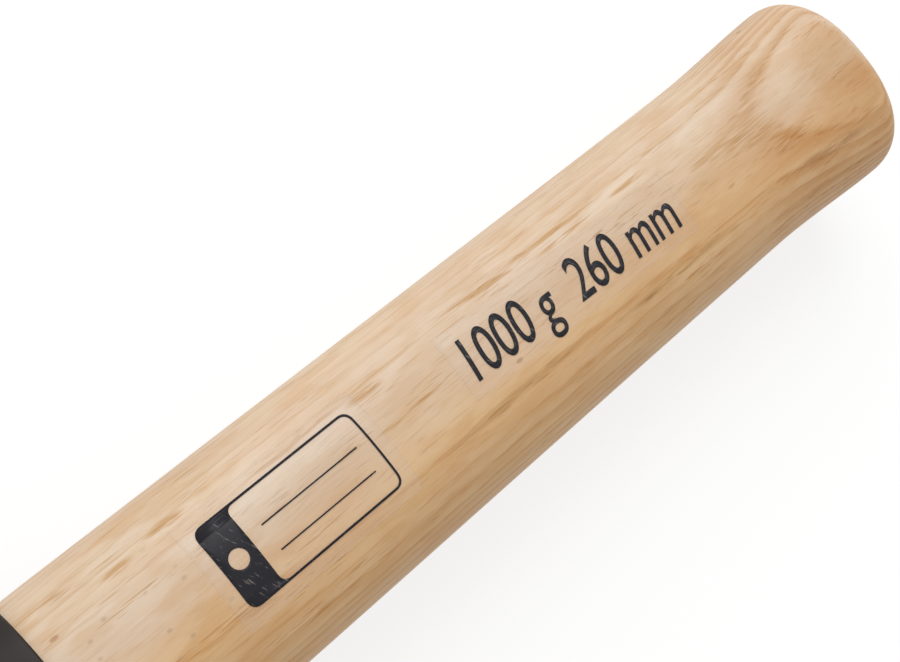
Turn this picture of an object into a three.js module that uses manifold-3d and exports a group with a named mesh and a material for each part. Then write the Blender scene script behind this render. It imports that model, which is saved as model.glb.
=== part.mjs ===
// Club hammer: a double-faced forged head on a short hickory handle, with a steel sleeve that guards the neck
// and a wooden wedge and a ring wedge that spread the tenon in the eye.
//
// Millimetres. The hammer lies on one cheek of its head. +X runs along the handle from the eye to the butt,
// +Y runs along the head from face to face, and +Z is up. The origin is the middle of the cheek that it lies on.

import * as THREE from 'three';
import { mergeVertices } from 'three/addons/utils/BufferGeometryUtils.js';
import Module from 'manifold-3d';

// Head: the 1000 g size
const HEAD_LENGTH = 100; // face to face, over the crowns
const HEAD_SIDE = 40; // square section: cheek to cheek, and top to underside
const EYE_CHAMFER = 3; // width of the long-edge chamfer beside the eye
const POLL_CHAMFER = 9; // width that the same chamfer grows to at the face bevels
const CHAMFER_START = 12; // distance from the middle of the head where the chamfer starts to grow
const EDGE_ROUND = 1.2; // radius on every long edge
const BEVEL_RUN = 4.5; // length of the face bevel along the head
const BEVEL_DEPTH = 3; // how far the bevel steps in on each side
const FACE_CROWN = 0.8; // height of the crowned striking face

// Eye: an oval hole through the head, narrowest part-way up and flared to both mouths
const EYE_LENGTH = 28; // along the head, at the narrowest section
const EYE_WIDTH = 21; // cheek to cheek, at the narrowest section
const EYE_WAIST = 15; // height of the narrowest section above the underside
const EYE_TOP_FLARE = 1.3; // how much each side opens towards the top
const EYE_FOOT_FLARE = 0.5; // how much each side opens towards the underside
const EYE_LEAD_IN = 0.8; // small chamfer round both mouths

// Handle
const HANDLE_LENGTH = 260; // tenon included
const TENON_PROUD = 1; // how far the tenon stands out of the eye
const TENON_EDGE = 0.6; // broken edge round the tenon's end
const SHOULDER_STEP = 1.2; // how far the neck stands out round the tenon, under the head
const GRIP_WIDTH = 34.4; // at the fullest section of the grip
const GRIP_THICKNESS = 27.6;
const GRIP_AT = 50; // distance of that section from the underside of the head
const WAIST_WIDTH = 33.8; // at the slight hollow before the butt
const WAIST_THICKNESS = 26.6;
const WAIST_AT = 36; // distance of the waist from the butt end
const BUTT_WIDTH = 36.6; // at the flare of the butt
const BUTT_THICKNESS = 29.6;
const BUTT_AT = 4.5; // distance of the flare's fullest section from the butt end
const BUTT_ROUND = 9; // length of the rounded end
const BUTT_POWER = 2.55; // 2 rounds the end like an egg, and more makes it flatter with tighter corners
const OVAL_POWER = 2.3; // 2 is an ellipse, and more makes the oval fuller at its corners

// Guard sleeve round the neck
const SLEEVE_LENGTH = 43;
const SLEEVE_WALL = 1;

// Wooden wedge, driven into a saw kerf along the tenon
const WEDGE_DEPTH = 30; // from the tenon's end to the wedge's tip
const WEDGE_THICKNESS = 4.4; // at the tenon's end
const WEDGE_TIP = 1; // thickness at the tip
const KERF_RELIEF = 1; // how far the kerf runs past the tip

// Ring wedge, driven across the wooden wedge
const RING_DIAMETER = 15; // outside, at its head
const RING_DEPTH = 19; // from its head to its cutting edge
const RING_WALL = 2; // at its head
const RING_EDGE = 0.5; // wall at its cutting edge
const RING_TAPER = 0.6; // how much its outer radius closes in towards the edge
const RING_SUNK = 0.5; // how far its head lies below the tenon's end

// Fits and facets
const FIT_GAP = 0.3; // between pieces that are driven or pressed together
const OVAL_SIDES = 48; // facets round the handle, sleeve and eye
const GRIP_RINGS = 26; // sections along the grip
const BUTT_RINGS = 9; // sections along the rounded end
const SLEEVE_RINGS = 7; // sections along the sleeve
const RIM_STEPS = 4; // facets round each edge of the sleeve
const CHAMFER_RINGS = 8; // sections along the growing chamfer
const CROWN_RINGS = 3; // sections across the crowned face
const CORNER_STEPS = 3; // facets on each rounded long edge
const RING_SIDES = 40; // facets round the ring wedge

// Places along the handle, measured from the middle of the eye
const HEAD_TOP = -HEAD_SIDE / 2;
const HEAD_UNDERSIDE = HEAD_SIDE / 2;
const TENON_END = HEAD_TOP - TENON_PROUD;
const SHOULDER = HEAD_UNDERSIDE + FIT_GAP;
const BUTT_END = TENON_END + HANDLE_LENGTH;
const BUTT_START = BUTT_END - BUTT_ROUND;

const wasm = await Module();
wasm.setup();

// Solid for cutting, from a closed geometry
function solidOf(geometry) {
  const bare = new THREE.BufferGeometry();
  bare.setAttribute('position', geometry.getAttribute('position'));
  bare.setIndex(geometry.index);
  const merged = mergeVertices(bare, 1e-4);
  return new wasm.Manifold(
    new wasm.Mesh({
      numProp: 3,
      vertProperties: new Float32Array(merged.attributes.position.array),
      triVerts: new Uint32Array(merged.index.array),
    }),
  );
}

// Geometry back from a cut solid, with flat-shaded facets
function geometryOf(solid) {
  const mesh = solid.getMesh();
  const geometry = new THREE.BufferGeometry();
  geometry.setAttribute('position', new THREE.BufferAttribute(new Float32Array(mesh.vertProperties), 3));
  geometry.setIndex(new THREE.BufferAttribute(new Uint32Array(mesh.triVerts), 1));
  const facets = geometry.toNonIndexed();
  facets.computeVertexNormals();
  return facets;
}

// Closed skin over rings of points that follow each other along +X.
// Each ring turns from +Y to +Z. The ends are closed by fans, unless the last ring joins the first one.
function loft(rings, joined = false) {
  const count = rings[0].length;
  const positions = rings.flat().flatMap((point) => point.toArray());
  const index = [];
  const last = joined ? rings.length : rings.length - 1;
  for (let r = 0; r < last; r++) {
    const here = r * count;
    const next = ((r + 1) % rings.length) * count;
    for (let i = 0; i < count; i++) {
      const j = (i + 1) % count;
      index.push(here + i, here + j, next + i, here + j, next + j, next + i);
    }
  }
  if (!joined) {
    closeEnd(positions, index, rings[0], 0, true);
    closeEnd(positions, index, rings.at(-1), (rings.length - 1) * count, false);
  }
  const geometry = new THREE.BufferGeometry();
  geometry.setAttribute('position', new THREE.Float32BufferAttribute(positions, 3));
  geometry.setIndex(index);
  return geometry;
}

// Fan of triangles from a ring's middle, facing -X at the first ring and +X at the last
function closeEnd(positions, index, ring, start, isFirst) {
  const middle = new THREE.Vector3();
  ring.forEach((point) => middle.add(point));
  middle.divideScalar(ring.length);
  const hub = positions.length / 3;
  positions.push(...middle.toArray());
  ring.forEach((_, i) => {
    const j = (i + 1) % ring.length;
    if (isFirst) index.push(hub, start + j, start + i);
    else index.push(hub, start + i, start + j);
  });
}

// Oval section across the handle at x, given its half sizes along the head and cheek to cheek
function oval(x, halfWidth, halfThickness) {
  const bulge = (value) => Math.sign(value) * Math.abs(value) ** (2 / OVAL_POWER);
  return Array.from({ length: OVAL_SIDES }, (_, i) => {
    const turn = (2 * Math.PI * i) / OVAL_SIDES;
    return new THREE.Vector3(x, halfWidth * bulge(Math.cos(turn)), halfThickness * bulge(Math.sin(turn)));
  });
}

// Evenly spaced values from start to end, both included
function spaced(start, end, count) {
  return Array.from({ length: count }, (_, i) => THREE.MathUtils.lerp(start, end, i / (count - 1)));
}

// Square section of the head at a place along it, with chamfered and rounded long edges
function headSection(along, half, chamfer) {
  const corners = [];
  for (let quarter = 0; quarter < 4; quarter++) {
    const turn = (quarter * Math.PI) / 2;
    corners.push(new THREE.Vector2(half, half - chamfer).rotateAround(new THREE.Vector2(), turn));
    corners.push(new THREE.Vector2(half - chamfer, half).rotateAround(new THREE.Vector2(), turn));
  }
  const cut = EDGE_ROUND * Math.tan(Math.PI / 8);
  const points = corners.flatMap((corner, i) => {
    const before = corners.at(i - 1);
    const after = corners[(i + 1) % corners.length];
    const start = corner.clone().add(before.clone().sub(corner).setLength(cut));
    const end = corner.clone().add(after.clone().sub(corner).setLength(cut));
    return new THREE.QuadraticBezierCurve(start, corner, end).getPoints(CORNER_STEPS);
  });
  return points.map((point) => new THREE.Vector3(along, point.x, point.y));
}

// Half sizes of the eye at x: the narrowest section plus the flare towards the nearer mouth
function eyeHalves(x) {
  const waist = HEAD_UNDERSIDE - EYE_WAIST;
  const flare =
    x < waist
      ? (EYE_TOP_FLARE * (waist - x)) / (waist - HEAD_TOP)
      : (EYE_FOOT_FLARE * (x - waist)) / (HEAD_UNDERSIDE - waist);
  return [EYE_LENGTH / 2 + flare, EYE_WIDTH / 2 + flare];
}

// Half sizes of the tenon at x: the eye less the fit gap
function tenonHalves(x) {
  const inEye = THREE.MathUtils.clamp(x, HEAD_TOP, HEAD_UNDERSIDE);
  return eyeHalves(inEye).map((half) => half - FIT_GAP);
}

// Half sizes of the handle under the head at x: smooth steps from neck to grip, waist and butt
function handleHalves(x) {
  const neck = tenonHalves(HEAD_UNDERSIDE).map((half) => half + SHOULDER_STEP);
  const stations = [
    [SHOULDER, ...neck],
    [HEAD_UNDERSIDE + GRIP_AT, GRIP_WIDTH / 2, GRIP_THICKNESS / 2],
    [BUTT_END - WAIST_AT, WAIST_WIDTH / 2, WAIST_THICKNESS / 2],
    [BUTT_END - BUTT_AT, BUTT_WIDTH / 2, BUTT_THICKNESS / 2],
  ];
  let [halfWidth, halfThickness] = neck;
  for (let i = 1; i < stations.length; i++) {
    const [from, widthBefore, thicknessBefore] = stations[i - 1];
    const [to, width, thickness] = stations[i];
    const step = THREE.MathUtils.smoothstep(x, from, to);
    halfWidth += step * (width - widthBefore);
    halfThickness += step * (thickness - thicknessBefore);
  }
  return [halfWidth, halfThickness];
}

// Forged block along +X: chamfers that grow from the eye to the polls, face bevels and crowned faces
function headBlock() {
  const half = HEAD_SIDE / 2;
  const faceEdge = HEAD_LENGTH / 2 - FACE_CROWN;
  const bevelStart = faceEdge - BEVEL_RUN;
  const chamferAt = (along) =>
    THREE.MathUtils.lerp(
      EYE_CHAMFER,
      POLL_CHAMFER,
      THREE.MathUtils.smoothstep(along, CHAMFER_START, bevelStart),
    );
  const rings = spaced(CHAMFER_START, bevelStart, CHAMFER_RINGS).map((along) =>
    headSection(along, half, chamferAt(along)),
  );
  // Stepping a chamfered square in by one depth narrows its chamfer by this share of the depth
  const chamferLoss = 2 - Math.SQRT2;
  const face = headSection(faceEdge, half - BEVEL_DEPTH, POLL_CHAMFER - chamferLoss * BEVEL_DEPTH);
  rings.push(face);
  for (const reach of spaced(1, 0, CROWN_RINGS + 2).slice(1, -1)) {
    const rise = FACE_CROWN * (1 - reach * reach);
    rings.push(face.map(({ y, z }) => new THREE.Vector3(faceEdge + rise, y * reach, z * reach)));
  }
  const centre = rings.at(-1).map(() => new THREE.Vector3(faceEdge + FACE_CROWN, 0, 0));
  rings.push(centre);
  const mirrored = rings.toReversed().map((ring) => ring.map(({ x, y, z }) => new THREE.Vector3(-x, y, z)));
  return solidOf(loft([...mirrored, ...rings]));
}

// Solid that fills the eye and runs out of both mouths, with the lead-in chamfers
function eyeCore() {
  const rings = [
    [HEAD_TOP - EYE_LEAD_IN, 2 * EYE_LEAD_IN],
    [HEAD_TOP + EYE_LEAD_IN, 0],
    [HEAD_UNDERSIDE - EYE_WAIST, 0],
    [HEAD_UNDERSIDE - EYE_LEAD_IN, 0],
    [HEAD_UNDERSIDE + EYE_LEAD_IN, 2 * EYE_LEAD_IN],
  ].map(([x, opening]) => {
    const inside = THREE.MathUtils.clamp(x, HEAD_TOP + EYE_LEAD_IN, HEAD_UNDERSIDE - EYE_LEAD_IN);
    const [halfLength, halfWidth] = eyeHalves(inside);
    return oval(x, halfLength + opening, halfWidth + opening);
  });
  return solidOf(loft(rings));
}

function headGeometry() {
  const block = geometryOf(headBlock()).rotateZ(Math.PI / 2);
  return geometryOf(solidOf(block).subtract(eyeCore()));
}

// Sections of the tenon, which fills the eye up to the fit gap
function tenonRings() {
  const brokenEdge = tenonHalves(TENON_END).map((half) => half - TENON_EDGE);
  const places = [TENON_END + TENON_EDGE, HEAD_TOP, HEAD_UNDERSIDE - EYE_WAIST, SHOULDER];
  return [oval(TENON_END, ...brokenEdge), ...places.map((x) => oval(x, ...tenonHalves(x)))];
}

// Sections of the handle from the shoulder to the butt end
function gripRings() {
  const rings = spaced(SHOULDER, BUTT_START, GRIP_RINGS).map((x) => oval(x, ...handleHalves(x)));
  for (const turn of spaced(0, Math.PI / 2, BUTT_RINGS + 1).slice(1)) {
    const along = Math.sin(turn) ** (2 / BUTT_POWER);
    const across = Math.max(Math.cos(turn), 0) ** (2 / BUTT_POWER);
    const x = BUTT_START + BUTT_ROUND * along;
    const [halfWidth, halfThickness] = handleHalves(x);
    rings.push(oval(x, halfWidth * across, halfThickness * across));
  }
  return rings;
}

// Tapered blade along the tenon, grown on each side by a gap, and as long as the head to cut right across
function wedgeBlade(gap, extraDepth) {
  const slope = (WEDGE_THICKNESS - WEDGE_TIP) / WEDGE_DEPTH;
  const start = TENON_END - TENON_PROUD;
  const tip = TENON_END + WEDGE_DEPTH + extraDepth;
  const halfAt = (x) => (WEDGE_THICKNESS - slope * (x - TENON_END)) / 2 + gap;
  const side = new THREE.Shape([
    new THREE.Vector2(start, -halfAt(start)),
    new THREE.Vector2(tip, -halfAt(tip)),
    new THREE.Vector2(tip, halfAt(tip)),
    new THREE.Vector2(start, halfAt(start)),
  ]);
  const blade = new THREE.ExtrudeGeometry(side, { depth: HEAD_LENGTH, bevelEnabled: false });
  return solidOf(blade.rotateX(Math.PI / 2).translate(0, HEAD_LENGTH / 2, 0));
}

// Tapered ring, grown on every side by a gap, and run out past the tenon's end where it cuts
function ringProfile(gap, runOut) {
  const radius = RING_DIAMETER / 2;
  const top = TENON_END + RING_SUNK;
  const edge = top + RING_DEPTH;
  const edgeRadius = radius - RING_TAPER;
  const profile = [
    new THREE.Vector2(radius - RING_WALL - gap, top - runOut),
    new THREE.Vector2(radius + gap, top - runOut),
    new THREE.Vector2(radius + gap, top),
    new THREE.Vector2(edgeRadius + gap, edge + gap),
    new THREE.Vector2(edgeRadius - RING_EDGE - gap, edge + gap),
    new THREE.Vector2(radius - RING_WALL - gap, top),
  ];
  const outline = runOut > 0 ? profile : [profile[5], ...profile.slice(2, 5)];
  return new THREE.LatheGeometry([...outline, outline[0]], RING_SIDES).rotateZ(-Math.PI / 2);
}

function ringPocket() {
  return solidOf(ringProfile(FIT_GAP, RING_SUNK + TENON_PROUD));
}

function handleGeometry() {
  const blank = solidOf(loft([...tenonRings(), ...gripRings()]));
  const kerf = wedgeBlade(FIT_GAP, KERF_RELIEF);
  return geometryOf(blank.subtract(kerf).subtract(ringPocket()));
}

function woodenWedgeGeometry() {
  const tenon = solidOf(loft(tenonRings()));
  return geometryOf(tenon.intersect(wedgeBlade(0, 0)).subtract(ringPocket()));
}

function ringWedgeGeometry() {
  return geometryOf(solidOf(ringProfile(0, 0)));
}

// Tapered tube that follows the neck, with rounded edges at both ends
function sleeveGeometry() {
  const start = SHOULDER;
  const end = SHOULDER + SLEEVE_LENGTH;
  const rim = SLEEVE_WALL / 2;
  const sectionAt = (x, offset) => {
    const [halfWidth, halfThickness] = handleHalves(x);
    return oval(x, halfWidth + FIT_GAP + offset, halfThickness + FIT_GAP + offset);
  };
  const edge = (centre, from) =>
    spaced(from, from + Math.PI, RIM_STEPS + 1).map((turn) =>
      sectionAt(centre + rim * Math.sin(turn), rim + rim * Math.cos(turn)),
    );
  const inside = spaced(end - rim, start + rim, SLEEVE_RINGS).slice(1, -1);
  const rings = [
    ...edge(start + rim, Math.PI),
    ...inside.toReversed().map((x) => sectionAt(x, SLEEVE_WALL)),
    ...edge(end - rim, 0),
    ...inside.map((x) => sectionAt(x, 0)),
  ];
  return geometryOf(solidOf(loft(rings, true)));
}

function piece(name, geometry, color, roughness, metalness) {
  const material = new THREE.MeshStandardMaterial({ color, roughness, metalness });
  const mesh = new THREE.Mesh(geometry, material);
  mesh.name = name;
  return mesh;
}

const onHandleAxis = new THREE.Group();
onHandleAxis.position.z = HEAD_SIDE / 2;
onHandleAxis.add(
  piece('hammer_head', headGeometry(), 0x26262a, 0.45, 0.3),
  piece('handle', handleGeometry(), 0xd9b78c, 0.55, 0),
  piece('guard_sleeve', sleeveGeometry(), 0x2f2c2a, 0.5, 0.3),
  piece('wooden_wedge', woodenWedgeGeometry(), 0xc79a63, 0.65, 0),
  piece('ring_wedge', ringWedgeGeometry(), 0x8f9194, 0.4, 1),
);

const clubHammer = new THREE.Group();
clubHammer.add(onHandleAxis);

export default clubHammer;
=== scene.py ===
"""Club hammer: fine skins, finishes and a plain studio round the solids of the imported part.

Metres. The hammer lies on one cheek of its head. +X runs along the handle from the eye to the butt, +Y runs
along the head from face to face, and +Z is up.
"""

import math

import bmesh
import bpy
from bpy.props import FloatProperty, FloatVectorProperty, IntProperty, PointerProperty, StringProperty
from mathutils import Matrix, Vector


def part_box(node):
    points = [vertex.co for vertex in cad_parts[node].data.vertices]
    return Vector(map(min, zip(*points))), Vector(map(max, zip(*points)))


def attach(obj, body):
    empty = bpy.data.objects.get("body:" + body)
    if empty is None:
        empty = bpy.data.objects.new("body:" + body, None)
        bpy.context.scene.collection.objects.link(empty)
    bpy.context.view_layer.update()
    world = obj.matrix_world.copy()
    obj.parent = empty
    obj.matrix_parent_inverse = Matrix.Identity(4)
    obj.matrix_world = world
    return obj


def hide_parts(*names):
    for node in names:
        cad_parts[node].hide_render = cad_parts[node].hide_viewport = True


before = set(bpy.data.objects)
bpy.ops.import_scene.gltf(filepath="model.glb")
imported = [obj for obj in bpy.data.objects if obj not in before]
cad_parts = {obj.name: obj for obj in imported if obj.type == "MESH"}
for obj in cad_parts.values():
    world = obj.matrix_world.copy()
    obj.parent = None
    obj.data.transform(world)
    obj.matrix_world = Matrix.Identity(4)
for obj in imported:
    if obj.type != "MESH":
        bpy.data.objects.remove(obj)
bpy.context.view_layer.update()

bl_info = {
    "name": "Club hammer",
    "version": (1, 0, 0),
    "blender": (4, 5, 0),
    "location": "View3D > Sidebar > Hammer",
    "description": "Dresses the solids of a club hammer with skins, finishes, labels and a studio",
    "category": "Object",
}

MM = 0.001
HEAD_LOW, HEAD_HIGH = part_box("hammer_head")
HANDLE_LOW, HANDLE_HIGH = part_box("handle")
SLEEVE_LOW, SLEEVE_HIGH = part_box("guard_sleeve")
WEDGE_LOW, WEDGE_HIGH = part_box("wooden_wedge")
RING_LOW, RING_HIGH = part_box("ring_wedge")
AXIS_HEIGHT = (HEAD_LOW.z + HEAD_HIGH.z) / 2

# How finely the skins are cut, and how far cutters run out of what they cut
TENON_EDGE_RINGS = 5
TENON_RINGS = 12
GRIP_RINGS = 130
BUTT_RINGS = 36
SLEEVE_RIM_RINGS = 9
SLEEVE_RINGS = 40
HEAD_RINGS = 24
HEAD_EDGE_STEPS = 5
FACE_RINGS = 10
MOUTH_RINGS = 7
MOUTH_TURN = math.radians(80)
RING_SIDES = 96
RING_EDGE_STEPS = 4
ROUND_POWER = 2.0
SHARP_EDGE = math.radians(40)
HEAD_SHARP_EDGE = math.radians(32)
WELD = 0.002 * MM
KERF_OVERRUN = 1 * MM
POCKET_OVERRUN = 2 * MM
SANDING_LENGTH = 60 * MM
SANDING_WIDTH = 18 * MM

# Print and film. Figures are measured on text of size 1, and the tag's layout is in shares of its own sizes
FIGURE_HEIGHT = 0.69
STROKE_GAIN = 0.004
TEXT_STEPS = 12
TAG_CORNER_STEPS = 8
TAG_END = 1 / 5
TAG_HOLE = 1 / 9
HOLE_POINTS = 48
WRITE_LENGTH = 0.78
WRITE_WIDTH = 0.6
WRITE_CORNER = 0.2
WRITE_PLACES = (0.12, -0.2)
PRINT_STRIP = 0.4 * MM
PLANE_REACH = 1e-7
FILM_COLUMNS = 48
FILM_ROWS = 24

# Where the wood changes, in millimetres from the axis at the eye: start of each change, and where it is full.
# The flecks' places across the handle are measured from their own middle
PLAIN_EDGE = (15, 9)
MOTTLED_NECK = (110, 70)
# The -Y side, away from the key light, is browner: partly browner wood, partly painted shade
BROWN_AND_SHADED_SIDE = (5, -6)
BROWN_EDGE = (10, 17)
BROWN_END = (196, 214)
UPPER_FACE = (0, 6)
FLECKS_ALONG = (94, 82)
FLECKS_MIDDLE = 3
FLECKS_ACROSS = (9, 5)

# Grain marks on the upper face in millimetres: place along the handle and across it, half length and half
# width, and for some the lean across the handle per unit of length
GOLDEN_MARKS = (
    (121.0, 8.2, 4.5, 1.0),
    (125.0, 2.0, 9.0, 0.5),
    (146.0, 9.6, 10.0, 0.7, -0.1),
    (163.0, 9.6, 14.0, 0.6, -0.04),
    (164.0, 7.9, 9.0, 0.4),
    (180.0, 8.2, 6.0, 0.6),
    (78.0, 10.4, 3.5, 0.9),
    (87.0, 11.3, 4.5, 0.9),
    (143.0, -6.4, 22.0, 1.0),
    (176.0, -8.2, 20.0, 0.9),
)
MINERAL_STREAK = (216.5, -9.2, 13.0, 1.2, -0.11)

# Shine of lacquer and ink, sensor of the camera in millimetres, and the nearest thing that it shows
SOFT_SHINE = 0.3
SENSOR_WIDTH = 36
NEAREST = 10 * MM


def linear(red, green, blue):
    """Scene colour for a screen colour given from 0 to 255."""
    parts = [part / 255 for part in (red, green, blue)]
    return [part / 12.92 if part <= 0.04045 else ((part + 0.055) / 1.055) ** 2.4 for part in parts]


def size(name, description, millimetres):
    """Length that a user may change, given in millimetres and kept in metres."""
    return FloatProperty(
        name=name, description=description, default=millimetres * MM, unit="LENGTH", precision=5
    )


def share(name, description, default):
    """Plain number that a user may change."""
    return FloatProperty(name=name, description=description, default=default, precision=3)


def angle(name, description, degrees):
    """Angle that a user may change, given in degrees."""
    return FloatProperty(
        name=name, description=description, default=math.radians(degrees), unit="ROTATION"
    )


def shade(name, description, *screen_colour):
    """Colour that a user may change, given as a screen colour from 0 to 255."""
    return FloatVectorProperty(
        name=name, description=description, default=linear(*screen_colour), subtype="COLOR", min=0, max=1
    )


class HeadSizes(bpy.types.PropertyGroup):
    """Forged head and its eye"""

    eye_chamfer: size("Eye chamfer", "Width of the long-edge chamfer beside the eye", 3)
    poll_chamfer: size("Poll chamfer", "Width that the chamfer grows to at the face bevels", 9)
    chamfer_start: size("Chamfer start", "Distance from the eye where the chamfer starts to grow", 12)
    edge_round: size("Edge round", "Radius on every long edge", 1.2)
    bevel_run: size("Bevel run", "Length of the face bevel along the head", 4.5)
    bevel_depth: size("Bevel depth", "How far the bevel steps in on each side", 3)
    face_crown: size("Face crown", "Height of the crowned striking face", 0.8)
    eye_length: size("Eye length", "Narrowest opening along the head", 28)
    eye_width: size("Eye width", "Narrowest opening from cheek to cheek", 21)
    eye_waist: size("Eye waist", "Height of the narrowest section above the underside", 15)
    eye_top_flare: size("Top flare", "How much each side of the eye opens towards the top", 1.3)
    eye_foot_flare: size("Foot flare", "How much each side of the eye opens towards the underside", 0.5)
    mouth_round: size("Mouth round", "Radius round both mouths of the eye", 0.8)


class HandleSizes(bpy.types.PropertyGroup):
    """Turned handle and the joint in the eye"""

    tenon_edge: size("Tenon edge", "Broken edge round the tenon's end", 0.6)
    shoulder_step: size("Shoulder step", "How far the neck stands out round the tenon", 1.2)
    grip_width: size("Grip width", "Fullest section, along the head", 34.4)
    grip_thickness: size("Grip thickness", "Fullest section, from cheek to cheek", 27.6)
    grip_at: size("Grip place", "Distance of the fullest section from the head", 50)
    waist_width: size("Waist width", "Hollow before the butt, along the head", 33.8)
    waist_thickness: size("Waist thickness", "Hollow before the butt, from cheek to cheek", 26.6)
    waist_at: size("Waist place", "Distance of the hollow from the butt end", 36)
    butt_width: size("Butt width", "Flare of the butt, along the head", 36.6)
    butt_thickness: size("Butt thickness", "Flare of the butt, from cheek to cheek", 29.6)
    butt_at: size("Butt place", "Distance of the fullest flare from the butt end", 4.5)
    butt_round: size("Butt round", "Length of the rounded end", 9)
    butt_power: share("Butt power", "2 rounds the end like an egg, and more makes it flatter", 2.55)
    oval_power: share("Oval power", "2 is an ellipse, and more makes the oval fuller", 2.3)
    sanding: size("Sanding", "How far hand sanding leaves the skin uneven", 0.06)
    sides: IntProperty(name="Sides", description="Facets round the handle and sleeve", default=144)


class JointSizes(bpy.types.PropertyGroup):
    """Sleeve and wedges"""

    fit_gap: size("Fit gap", "Room between pieces that are driven or pressed together", 0.3)
    sleeve_wall: size("Sleeve wall", "Thickness of the guard sleeve", 1)
    wedge_tip: size("Wedge tip", "Thickness of the wooden wedge at its tip", 1)
    kerf_relief: size("Kerf relief", "How far the kerf runs past the wedge's tip", 1)
    ring_wall: size("Ring wall", "Wall of the ring wedge at its head", 2)
    ring_edge: size("Ring edge", "Wall of the ring wedge at its cutting edge", 0.5)
    ring_taper: size("Ring taper", "How much the ring's radius closes in towards its edge", 0.6)
    ring_round: size("Ring round", "How far each edge of the ring is cut back by its round", 0.25)


class LabelSizes(bpy.types.PropertyGroup):
    """Two labels along the handle, on clear film"""

    measures: StringProperty(name="Measures", description="Plain sizes in print", default="1000 g  260 mm")
    measures_at: size("Measures place", "Middle of the printed sizes along the handle", 159.6)
    measures_side: size("Measures side", "Middle of the printed sizes across the handle", 1.5)
    measures_length: size("Measures length", "Length of the printed sizes", 46.4)
    measures_height: size("Measures height", "Height of the printed figures", 7)
    measures_slant: share("Measures slant", "Lean of the printed figures", 0.16)
    measures_turn: angle("Measures turn", "How far the print is turned from the handle's line", -2)
    tag_at: size("Tag place", "Middle of the write-on tag along the handle", 102.8)
    tag_side: size("Tag side", "Middle of the write-on tag across the handle", 1.2)
    tag_length: size("Tag length", "Outline of the write-on tag along the handle", 28.7)
    tag_height: size("Tag height", "Outline of the write-on tag across the handle", 13.6)
    tag_corner: size("Tag corner", "How far each corner of the tag is cut back by its round", 1.8)
    tag_line: size("Tag line", "Width of the tag's outline", 0.35)
    film_margin: size("Film margin", "How far the clear film runs past the print", 2.2)
    film_gap: size("Film gap", "Room under the clear film, and between the film and the ink", 0.02)
    film_thickness: size("Film thickness", "Thickness of the clear film", 0.05)
    ink_thickness: size("Ink thickness", "Thickness of the printed ink", 0.02)


class Finishes(bpy.types.PropertyGroup):
    """Colours and grain"""

    pale_wood: shade("Pale wood", "Dense growth of the hickory", 237, 214, 188)
    rosy_wood: shade("Rosy wood", "Pinker patches of the hickory", 231, 201, 174)
    tan_wood: shade("Tan wood", "Porous growth of the hickory", 219, 179, 132)
    golden_wood: shade("Golden wood", "Line where each year's growth starts", 205, 158, 102)
    grain_line: shade("Grain line", "Open pores along the grain", 180, 130, 72)
    # Partly browner wood and partly painted shade on the -Y side, away from the key light; also a little
    # darker along the +Y edge
    brown_and_shade_tint: shade("Heartwood", "Tint of the browner wood along both sides", 254, 234, 200)
    butt_wood: shade("Butt wood", "Tint of the darker wood at the butt", 240, 227, 211)
    streak_brown: shade("Brown streak", "Mineral streak near the butt, and pin knots", 170, 112, 56)
    fleck_grey: shade("Flecks", "Small flecks near the neck", 168, 143, 118)
    wedge_wood: shade("Wedge wood", "Beech of the wooden wedge", 206, 166, 120)
    ring_spacing: size("Ring spacing", "Width of one year's growth", 1.1)
    ring_drift: share("Ring drift", "How many years the older growth runs ahead or behind", 2.4)
    drift_rate: share("Drift rate", "How quickly that drift changes, per year", 0.32)
    pith_depth: size("Pith depth", "Distance of the tree's middle below the handle's axis", 85)
    pith_side: size("Pith side", "Distance of the tree's middle towards +Y", -4.7)
    grain_slope: share("Grain slope", "How far the growth drops along the handle, per unit of length", 0.008)
    slope_start: size("Slope start", "Place along the handle where that slope is measured from", 203)
    grain_wander: size("Grain wander", "How far the growth wanders up and down along the handle", 0.35)
    grain_ripple: size("Grain ripple", "How far the growth ripples between neighbouring fibres", 0.42)
    last_year: size("Last year", "Height over the axis where the last year's growth starts", 13.343)
    last_spacing: size("Last spacing", "Width of the last year's growth", 1.8)
    head_black: shade("Head lacquer", "Black lacquer on the head", 24, 24, 26)
    head_cloud: shade("Head clouds", "Thinner patches of that lacquer", 38, 37, 38)
    sleeve_black: shade("Sleeve lacquer", "Satin black-brown lacquer on the sleeve", 28, 20, 16)
    sleeve_cloud: shade("Sleeve clouds", "Thinner patches of that lacquer", 38, 29, 24)
    ground_steel: shade("Ground steel", "Bare ground faces of the head", 190, 190, 192)
    dull_steel: shade("Dull steel", "Duller patches of the ground faces", 158, 156, 154)
    ring_steel: shade("Ring steel", "Bare steel of the ring wedge", 172, 172, 174)
    tarnish: shade("Tarnish", "Tarnished patches of the ring wedge", 120, 110, 100)
    ink: shade("Ink", "Blue-black printing ink", 15, 15, 24)
    ink_cloud: shade("Ink clouds", "Thinner patches of the ink", 28, 27, 36)
    scuff: shade("Scuffs", "Light scratches in the ink", 150, 140, 130)
    # The veil is partly the film's own haze and partly painted sheen
    film_haze_and_sheen: shade("Film veil", "Faint veil of the clear film", 248, 246, 242)
    film_cover: share("Film cover", "How much of the wood that veil covers", 0.055)


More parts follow.
